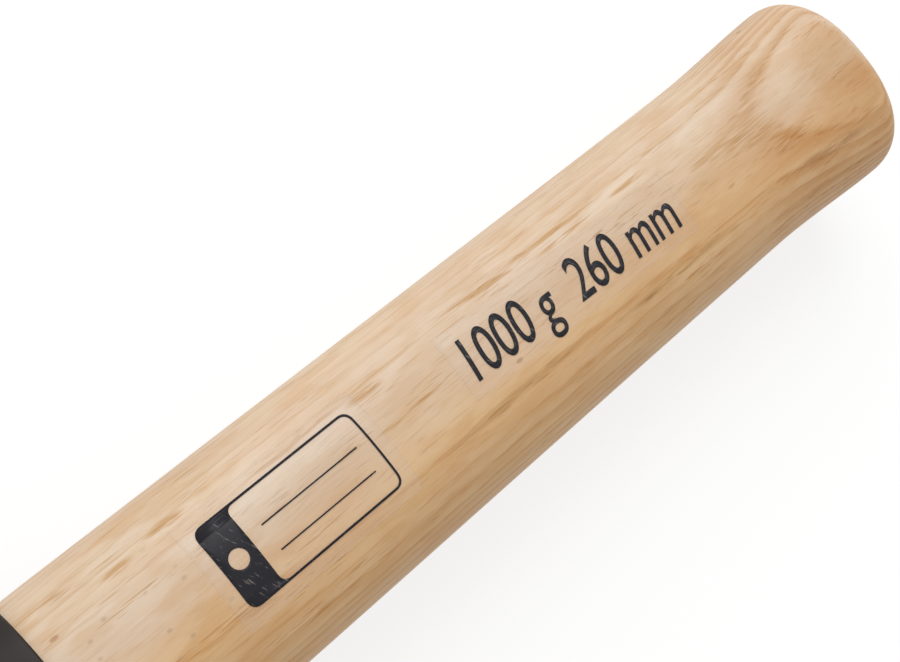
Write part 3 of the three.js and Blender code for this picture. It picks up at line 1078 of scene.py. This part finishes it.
    def flecked(self, wood):
        """Wood with a few pin knots, and with small soft flecks by the neck on its upper face."""
        graph, finishes = self.graph, self.finishes
        knots = graph.step(graph.cells(self.along_grain(length=17, width=8, shift=0.3)), 0.055, 0.025)
        flecks = graph.step(graph.cells(self.along_grain(length=3.0, width=2.2)), 0.22, 0.06)
        across = graph.step(abs(self.y - FLECKS_MIDDLE), *FLECKS_ACROSS)
        by_neck = graph.step(self.x, *FLECKS_ALONG) * across * self.upper_face
        flaws = ((knots * 0.6, finishes.streak_brown), (flecks * by_neck * 0.45, finishes.fleck_grey))
        return graph.layered(wood, flaws)


def hickory(finishes):
    """Pale sanded hickory of the handle."""
    material, graph, surface = new_material("hickory_wood")
    grain = Hickory(graph, finishes)
    fibre, fine = grain.fibre, grain.fine
    wood = grain.flecked(grain.marked(grain.layers()))
    relief = fine * 0.6 + fibre * 0.5 - grain.dashes * 0.3
    inputs = {
        "Base Color": graph.lit(wood, 1.0 + fibre * 0.07 + fine * 0.08 + grain.tone * 0.16),
        "Roughness": 0.5 + fine * 0.25 + grain.pores * 0.15,
        "Normal": graph.bump(relief, distance=0.02 * MM, strength=0.5),
    }
    graph.fill(surface, inputs)
    return material


def wedge_wood(finishes):
    """Darker, closer wood of the driven wedge."""
    material, graph, surface = new_material("beech_wedge")
    place = Place(graph)
    bend = (place.wave(length=30, width=2.5) + 0.5) * 5
    years = graph.math("FRACT", (place.y + place.z * 0.3 + bend) / 1.7)
    fibre = place.wave(length=18, width=0.35, detail=3.0, shift=4)
    wood = graph.blend(graph.step(years, 0.0, 0.6, 0.4, 0.0), finishes.wedge_wood, finishes.grain_line)
    inputs = {
        "Base Color": graph.lit(wood, 1.0 + fibre * 0.35),
        "Roughness": 0.62 + fibre * 0.2,
        "Normal": graph.bump(fibre, distance=0.04 * MM, strength=0.6),
    }
    graph.fill(surface, inputs)
    return material


def head_lacquer(finishes, wear_start):
    """Black lacquer with a slight orange peel, rubbed through in places beside the ground faces."""
    material, graph, surface = new_material("black_head_lacquer")
    place = Place(graph)
    peel = place.speckle(0.9, 0.9, 0.9, detail=1.0)
    cloud = place.speckle(1 / 9, 1 / 9, 1 / 9, detail=3.0)
    grit = place.speckle(1.6, 0.8, 1.6, detail=3.0)
    wear = wear_start / MM
    rubbed = graph.step(abs(place.y) + (grit - 0.5) * 1.5, wear - 0.1, wear + 0.3)
    paint = graph.blend(cloud * 0.5, finishes.head_black, finishes.head_cloud)
    inputs = {
        "Base Color": graph.blend(rubbed, paint, finishes.ground_steel),
        "Metallic": rubbed,
        "Roughness": 0.33 + cloud * 0.22 - rubbed * 0.05,
        "Specular IOR Level": SOFT_SHINE,
        "Normal": graph.bump(peel - rubbed * 0.6, distance=0.03 * MM, strength=0.5),
    }
    graph.fill(surface, inputs)
    return material


def ground_steel(finishes):
    """Bare steel with fine straight grinding marks."""
    material, graph, surface = new_material("ground_face_steel")
    place = Place(graph)
    marks = place.speckle(7, 7, 0.25, detail=3.0)
    cloud = place.speckle(1 / 7, 1 / 7, 1 / 7, detail=3.0)
    dull = graph.step(cloud, 0.3, 0.75) * 0.3
    inputs = {
        "Base Color": graph.blend(dull, finishes.ground_steel, finishes.dull_steel),
        "Metallic": 1.0,
        "Roughness": 0.24 + marks * 0.2 + cloud * 0.06,
        "Normal": graph.bump(marks, distance=0.02 * MM, strength=0.4),
    }
    graph.fill(surface, inputs)
    return material


def sleeve_lacquer(finishes):
    """Satin black-brown lacquer with a fine sprayed texture."""
    material, graph, surface = new_material("satin_sleeve_lacquer")
    place = Place(graph)
    spray = place.speckle(2.2, 2.2, 2.2, detail=2.0)
    cloud = place.speckle(1 / 8, 1 / 8, 1 / 8, detail=3.0)
    inputs = {
        "Base Color": graph.blend(cloud * 0.6, finishes.sleeve_black, finishes.sleeve_cloud),
        "Roughness": 0.42 + cloud * 0.18,
        "Specular IOR Level": SOFT_SHINE,
        "Normal": graph.bump(spray, distance=0.02 * MM, strength=0.5),
    }
    graph.fill(surface, inputs)
    return material


def ring_steel(finishes):
    """Drawn steel of the ring wedge, with marks along it and a slight tarnish."""
    material, graph, surface = new_material("drawn_ring_steel")
    place = Place(graph)
    marks = place.speckle(0.3, 5, 5, detail=3.0)
    cloud = place.speckle(1 / 3, 1 / 3, 1 / 3, detail=3.0)
    tarnished = graph.step(cloud, 0.35, 0.8) * 0.6
    inputs = {
        "Base Color": graph.blend(tarnished, finishes.ring_steel, finishes.tarnish),
        "Metallic": 1.0,
        "Roughness": 0.28 + marks * 0.2 + cloud * 0.1,
        "Normal": graph.bump(marks, distance=0.02 * MM, strength=0.4),
    }
    graph.fill(surface, inputs)
    return material


def printed_ink(finishes):
    """Blue-black ink, scuffed by short light scratches."""
    material, graph, surface = new_material("printed_ink")
    place = Place(graph)
    slanted = graph.vector((place.x + place.y * 0.4) * 2.4, (place.y - place.x * 0.3) * 0.5, 0.0)
    scuffed = graph.step(graph.noise(slanted, detail=3.0), 0.60, 0.70)
    cloud = place.speckle(0.5, 0.5, 0.0, detail=2.0)
    ink = graph.blend(cloud * 0.5, finishes.ink, finishes.ink_cloud)
    inputs = {
        "Base Color": graph.blend(scuffed * 0.5, ink, finishes.scuff),
        "Roughness": 0.26 + cloud * 0.3 + scuffed * 0.2,
        "Specular IOR Level": SOFT_SHINE,
        "Normal": graph.bump(cloud, distance=0.06 * MM, strength=0.5),
    }
    graph.fill(surface, inputs)
    return material


def clear_film(finishes):
    """Clear glossy film: it lets the wood show, with a faint white veil, partly the film's haze and partly
    painted sheen, and a soft gloss.
    """
    material, graph, surface = new_material("clear_film")
    puckers = Place(graph).speckle(1 / 9, 1 / 2.5, 0.0, detail=1.0)
    inputs = {
        # Faint white veil: partly haze, partly painted sheen
        "Base Color": colour(finishes.film_haze_and_sheen),
        "Alpha": finishes.film_cover,
        "Roughness": 0.25,
        "Specular IOR Level": 1.0,
        "Normal": graph.bump(puckers, distance=0.05 * MM, strength=0.4),
    }
    graph.fill(surface, inputs)
    return material


def seen_directly(graph):
    """1 for what the camera sees, in the open or in a mirror or glass, and 0 for light on other things."""
    path = graph.node("ShaderNodeLightPath").outputs
    seen = graph.larger(path["Is Camera Ray"], path["Is Glossy Ray"])
    return graph.larger(seen, path["Is Transmission Ray"])


def floor_paper(studio):
    """White floor that glows for the eye, takes the object's shadow and fades to plain white far away."""
    material, graph, surface = new_material("floor_white")
    graph.tree.nodes.remove(surface)
    seen = seen_directly(graph)
    x, y, _ = graph.parts(graph.node("ShaderNodeTexCoord").outputs["Object"])
    near = graph.step(graph.length(x, y), studio.fade_end, studio.fade_start)
    seen_paper = graph.blend(near, (0.0, 0.0, 0.0), studio.floor_grey)
    tint = graph.blend(seen, studio.floor_white, seen_paper)
    paper = graph.output("ShaderNodeBsdfDiffuse", {"Color": tint})
    strength = seen * graph.step(near, 0.0, 1.0, 1.0, studio.floor_glow, "LINEAR")
    glow = graph.output("ShaderNodeEmission", {"Strength": strength})
    both = graph.output("ShaderNodeAddShader", {0: paper, 1: glow})
    graph.fill(graph.tree.nodes["Material Output"], {"Surface": both})
    return material


# Operators
class HAMMER_OT_handle(bpy.types.Operator):
    """Turn the hickory handle and cut its tenon for the wedges"""

    bl_idname = "hammer.handle"
    bl_label = "Handle"

    def execute(self, context):
        settings = context.scene.hammer
        handle, joint = settings.handle, settings.joint
        wood = hickory(settings.finishes)
        profile = handle_profile(settings)
        blank = lofted(profile, handle.sides, handle.oval_power, handle.sanding, Material=wood)
        pocket = ring_loft(ring_outline(joint, joint.fit_gap, POCKET_OVERRUN), wood)
        cut = carved(blank, kerf_blade(joint), pocket)
        place_piece("turned_handle", crisp(cut, SHARP_EDGE), "hickory", "handle")
        return {"FINISHED"}


class HAMMER_OT_sleeve(bpy.types.Operator):
    """Draw the guard sleeve over the neck"""

    bl_idname = "hammer.sleeve"
    bl_label = "Guard sleeve"

    def execute(self, context):
        settings = context.scene.hammer
        handle = settings.handle
        lacquer = sleeve_lacquer(settings.finishes)
        mesh = lofted(sleeve_profile(settings), handle.sides, handle.oval_power, Material=lacquer)
        place_piece("drawn_sleeve", mesh, "sleeve_lacquer", "guard_sleeve")
        return {"FINISHED"}


class HAMMER_OT_head(bpy.types.Operator):
    """Forge the head, cut its eye and grind its faces bare"""

    bl_idname = "hammer.head"
    bl_label = "Head"

    def execute(self, context):
        settings = context.scene.hammer
        head, handle = settings.head, settings.handle
        ground_from = HEAD_HIGH.y - head.face_crown - head.bevel_run
        core = lofted(eye_core_profile(head), handle.sides, handle.oval_power)
        mesh = crisp(carved(head_block(head), core), HEAD_SHARP_EDGE)
        mesh.materials.clear()
        mesh.materials.append(head_lacquer(settings.finishes, ground_from))
        mesh.materials.append(ground_steel(settings.finishes))
        for face in mesh.polygons:
            face.material_index = int(abs(face.center.y) > ground_from)
        place_piece("forged_head", mesh, "head_lacquer", "hammer_head")
        return {"FINISHED"}


class HAMMER_OT_wedges(bpy.types.Operator):
    """Round the ring wedge and finish the wooden wedge"""

    bl_idname = "hammer.wedges"
    bl_label = "Wedges"

    def execute(self, context):
        settings = context.scene.hammer
        points = outline(ring_outline(settings.joint), settings.joint.ring_round, RING_EDGE_STEPS)
        mesh = ring_loft(points, ring_steel(settings.finishes))
        place_piece("steel_ring", crisp(mesh, SHARP_EDGE), "ring_steel", "ring_wedge")
        wood = wedge_wood(settings.finishes)
        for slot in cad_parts["wooden_wedge"].material_slots:
            slot.material = wood
        return {"FINISHED"}


class HAMMER_OT_labels(bpy.types.Operator):
    """Print the sizes and a write-on tag on clear film along the handle"""

    bl_idname = "hammer.labels"
    bl_label = "Labels"

    def execute(self, context):
        settings = context.scene.hammer
        labels = settings.labels
        ink, film = printed_ink(settings.finishes), clear_film(settings.finishes)
        turned = Matrix.Rotation(labels.measures_turn, 4, "Z")
        print_place = Matrix.Translation((labels.measures_at, labels.measures_side, 0)) @ turned
        tag_place = Matrix.Translation((labels.tag_at, labels.tag_side, 0))
        edges = 2 * labels.film_margin
        for name, length, height, place in (
            ("sizes_film", labels.measures_length, labels.measures_height, print_place),
            ("tag_film", labels.tag_length, labels.tag_height, tag_place),
        ):
            mesh = sheet("film", length + edges, height + edges, FILM_COLUMNS, FILM_ROWS)
            mesh.transform(place)
            self.lay(name, mesh, labels.film_gap, labels.film_thickness, film)
        lift = 2 * labels.film_gap + labels.film_thickness
        for name, mesh, place in (
            ("printed_sizes", self.sizes(labels), print_place),
            ("printed_tag", self.tag(labels), tag_place),
        ):
            mesh.transform(place)
            self.lay(name, in_strips(mesh), lift, labels.ink_thickness, ink)
        return {"FINISHED"}

    def lay(self, name, mesh, lift, thickness, material):
        """Lays a flat mesh on the handle as a thin piece of its own."""
        laid = grown(
            mesh,
            lay_on_handle_tree(),
            thickness=thickness,
            Handle=bpy.data.objects["turned_handle"],
            Drop_Height=2 * AXIS_HEIGHT,
            Lift=lift,
            Material=material,
        )
        place_piece(name, laid, "")

    def sizes(self, labels):
        """Slanted plain figures, fitted to their length and height."""
        text = bpy.data.curves.new("sizes", "FONT")
        text.body = labels.measures
        text.shear = labels.measures_slant
        text.offset = STROKE_GAIN
        text.resolution_u = TEXT_STEPS
        mesh = flat_mesh(text)
        low = min(vertex.co.x for vertex in mesh.vertices)
        high = max(vertex.co.x for vertex in mesh.vertices)
        centred = Matrix.Translation((-(low + high) / 2, -FIGURE_HEIGHT / 2, 0))
        fitted = (labels.measures_length / (high - low), labels.measures_height / FIGURE_HEIGHT, 1, 1)
        mesh.transform(Matrix.Diagonal(fitted) @ centred)
        return mesh

    def tag(self, labels):
        """Outlined tag with a solid end, a punched spot in it and two lines to write on."""
        length, height, line = labels.tag_length, labels.tag_height, labels.tag_line
        end = length * TAG_END
        field = length - end
        field_middle = end / 2
        opening = (field - line, height - 2 * line, labels.tag_corner - line)
        rule = (field * WRITE_LENGTH, line * WRITE_WIDTH, line * WRITE_CORNER)
        outlines = [
            rectangle(length, height, labels.tag_corner),
            rectangle(*opening, (field_middle - line / 2, 0)),
            circle(height * TAG_HOLE, ((end - length) / 2, 0)),
        ]
        outlines += [rectangle(*rule, (field_middle, height * place)) for place in WRITE_PLACES]
        return flat_shape(outlines)


class HAMMER_OT_studio(bpy.types.Operator):
    """Set the camera, the lights and the white floor"""

    bl_idname = "hammer.studio"
    bl_label = "Studio"

    def execute(self, context):
        studio = context.scene.hammer.studio
        aim = Vector(studio.aim)
        self.camera(context, studio, aim)
        self.key_light(context, studio, aim)
        self.room(context, studio)
        self.floor(context, studio)
        context.scene.view_settings.view_transform = "Standard"
        return {"FINISHED"}

    def camera(self, context, studio, aim):
        """Camera above the handle, leaning towards the head."""
        camera = bpy.data.objects.new("camera", bpy.data.cameras.new("camera"))
        camera.data.sensor_width = SENSOR_WIDTH
        camera.data.lens = studio.lens
        camera.data.clip_start = NEAREST
        turned = Matrix.Rotation(-studio.tilt, 3, "Y") @ Matrix.Rotation(-studio.turn, 3, "Z")
        camera.rotation_euler = turned.to_euler()
        camera.location = aim + turned @ Vector((0, 0, studio.distance))
        context.collection.objects.link(camera)
        context.scene.camera = camera

    def key_light(self, context, studio, aim):
        """Large soft light."""
        lamp = bpy.data.lights.new("key", "AREA")
        lamp.energy = studio.key_power
        lamp.size = studio.key_side
        key = bpy.data.objects.new("key", lamp)
        towards = Vector(studio.key_towards).normalized()
        key.location = aim + towards * studio.key_distance
        key.rotation_euler = towards.to_track_quat("Z", "Y").to_euler()
        context.collection.objects.link(key)

    def room(self, context, studio):
        """White room, which is even light on the pieces and plain white for the eye."""
        world = bpy.data.worlds.new("room")
        world.use_nodes = True
        graph = Graph(world.node_tree)
        strength = graph.step(seen_directly(graph), 0.0, 1.0, studio.room_light, 1.0, "LINEAR")
        background = world.node_tree.nodes["Background"]
        graph.fill(background, {"Color": (1.0, 1.0, 1.0, 1.0), "Strength": strength})
        context.scene.world = world

    def floor(self, context, studio):
        """Wide white floor under the lower cheek."""
        mesh = sheet("floor", studio.floor_side, studio.floor_side)
        mesh.materials.append(floor_paper(studio))
        floor = bpy.data.objects.new("floor", mesh)
        context.collection.objects.link(floor)


OPERATORS = (
    HAMMER_OT_handle,
    HAMMER_OT_sleeve,
    HAMMER_OT_head,
    HAMMER_OT_wedges,
    HAMMER_OT_labels,
    HAMMER_OT_studio,
)


class HAMMER_PT_pieces(bpy.types.Panel):
    """Pieces of the hammer and its studio"""

    bl_idname = "HAMMER_PT_pieces"
    bl_label = "Club hammer"
    bl_space_type = "VIEW_3D"
    bl_region_type = "UI"
    bl_category = "Hammer"

    def draw(self, context):
        for operator in OPERATORS:
            self.layout.operator(operator.bl_idname)


CLASSES = (
    HeadSizes,
    HandleSizes,
    JointSizes,
    LabelSizes,
    Finishes,
    Studio,
    HammerSettings,
    *OPERATORS,
    HAMMER_PT_pieces,
)


def register():
    for kind in CLASSES:
        bpy.utils.register_class(kind)
    bpy.types.Scene.hammer = PointerProperty(type=HammerSettings)


def unregister():
    del bpy.types.Scene.hammer
    for kind in reversed(CLASSES):
        bpy.utils.unregister_class(kind)


def main():
    register()
    bpy.ops.hammer.handle()
    bpy.ops.hammer.sleeve()
    bpy.ops.hammer.head()
    bpy.ops.hammer.wedges()
    bpy.ops.hammer.labels()
    bpy.ops.hammer.studio()


if __name__ == "__main__":
    main()
